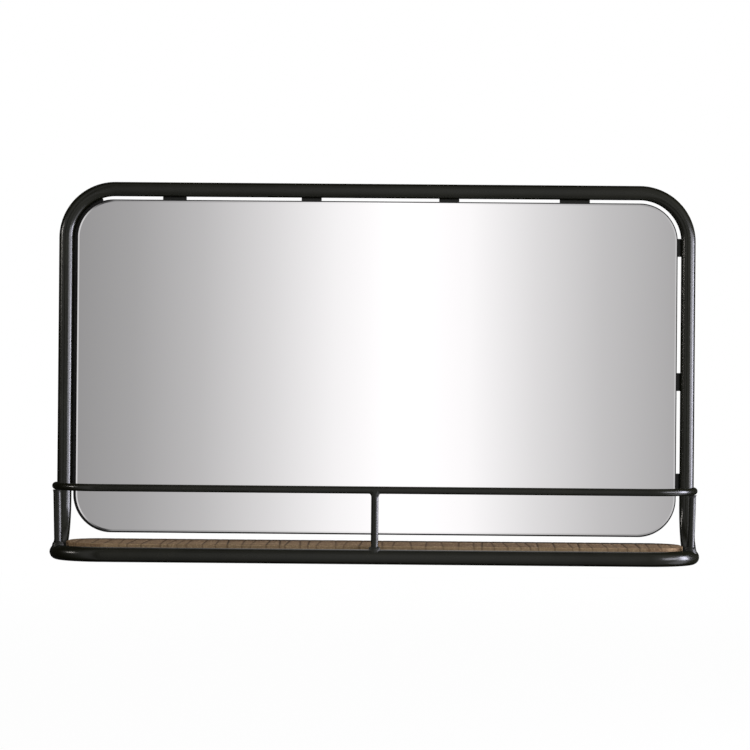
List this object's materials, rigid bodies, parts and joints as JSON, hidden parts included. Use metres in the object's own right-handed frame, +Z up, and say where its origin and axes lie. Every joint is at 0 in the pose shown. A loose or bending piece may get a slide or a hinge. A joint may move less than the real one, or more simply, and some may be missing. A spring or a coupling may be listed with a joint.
{
  "type": "wall mirror with shelf",
  "caption": "Frameless rounded mirror in a bent steel tube frame that turns forward to carry a wooden shelf with a rod guard rail.",
  "frame": {"origin": "hanging point: on the wall surface, midway between the tops of the two keyhole slots", "axes": "+X to the viewer's right along the shelf, +Y into the wall, +Z up; the mirror faces -Y"},
  "size_m": [0.8852, 0.168, 0.52],
  "materials": {
    "steel": "satin charcoal powder coat",
    "mirror": "silvered float glass with a ground arris",
    "backing": "fibreboard painted matte black",
    "wood": "rough-sawn brown hardwood, oiled",
    "zinc": "zinc-plated steel",
    "rubber": "matte black rubber",
    "adhesive": "white foam mounting tape"
  },
  "bodies": {
    "root": {"upper_frame_tube": "steel", "shelf_loop_tube": "steel", "joint_sleeve_left": "steel", "joint_sleeve_right": "steel", "guard_rail": "steel", "rail_leg_left": "steel", "rail_leg_right": "steel", "rail_post_centre": "steel", "mirror_glass": "mirror", "adhesive_strip_1": "adhesive", "adhesive_strip_2": "adhesive", "adhesive_strip_3": "adhesive", "adhesive_strip_4": "adhesive", "backing_board": "backing", "hanger_plate_left": "steel", "hanger_plate_left_screw_1": "zinc", "hanger_plate_left_screw_2": "zinc", "hanger_plate_right": "steel", "hanger_plate_right_screw_1": "zinc", "hanger_plate_right_screw_2": "zinc", "mirror_tab_top_left": "steel", "mirror_tab_top_left_screw_1": "zinc", "mirror_tab_top_right": "steel", "mirror_tab_top_right_screw_1": "zinc", "mirror_tab_right_lower": "steel", "mirror_tab_right_lower_screw_1": "zinc", "mirror_tab_right_middle": "steel", "mirror_tab_right_middle_screw_1": "zinc", "mirror_tab_right_upper": "steel", "mirror_tab_right_upper_screw_1": "zinc", "mirror_strip_left": "steel", "mirror_strip_left_screw_1": "zinc", "mirror_strip_left_screw_2": "zinc", "mirror_strip_left_screw_3": "zinc", "wall_bumper_left_lower": "rubber", "wall_bumper_left_upper": "rubber", "wall_bumper_right_lower": "rubber", "wall_bumper_right_upper": "rubber", "shelf_board": "wood", "shelf_cross_bar": "steel", "shelf_bar_screw_left": "zinc", "shelf_bar_screw_centre": "zinc", "shelf_bar_screw_right": "zinc", "shelf_tab_left": "steel", "shelf_tab_centre": "steel", "shelf_tab_right": "steel", "shelf_tab_screw_left": "zinc", "shelf_tab_screw_centre": "zinc", "shelf_tab_screw_right": "zinc"}
  },
  "joints": []
}
